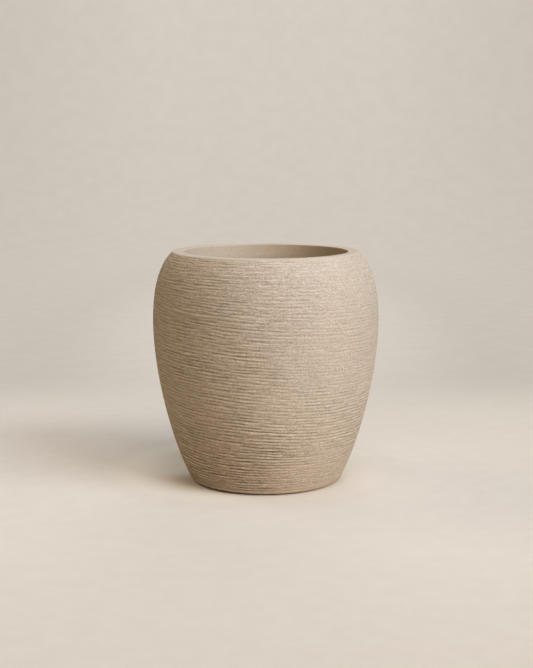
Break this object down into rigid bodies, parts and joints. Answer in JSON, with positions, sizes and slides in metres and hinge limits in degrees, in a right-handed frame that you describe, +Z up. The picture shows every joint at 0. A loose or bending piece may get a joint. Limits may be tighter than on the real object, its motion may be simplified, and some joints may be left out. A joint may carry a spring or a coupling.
{
  "type": "planter",
  "caption": "Barrel-shaped planter with combed sides, a smooth flat lip, rubber foot pads, and a drain hole with a pull-out plug below and a lift-out grid above.",
  "frame": {"origin": "on the ground, below the centre of the mouth", "axes": "+Z up along the planter's axis, -Y towards the front, +X to the right seen from the front"},
  "size_m": [0.36, 0.36, 0.368],
  "materials": {
    "combed_clay": "matte, fine horizontal combing with sandy grain",
    "sleeve_plastic": "satin moulded",
    "plug_rubber": "matte",
    "screen_plastic": "satin moulded",
    "pad_rubber": "matte"
  },
  "bodies": {
    "planter": {"planter_shell": "combed_clay", "drain_sleeve": "sleeve_plastic", "foot_pad_front_left": "pad_rubber", "foot_pad_front_right": "pad_rubber", "foot_pad_back_right": "pad_rubber", "foot_pad_back_left": "pad_rubber"},
    "plug": {"drain_plug": "plug_rubber"},
    "screen": {"drain_screen": "screen_plastic"}
  },
  "joints": [
    {"name": "plug_pull", "type": "slide", "parent": "planter", "child": "plug", "axis": [0, 0, -1], "range_m": [0, 0.04]},
    {"name": "screen_lift", "type": "slide", "parent": "planter", "child": "screen", "axis": [0, 0, 1], "range_m": [0, 0.38]}
  ]
}
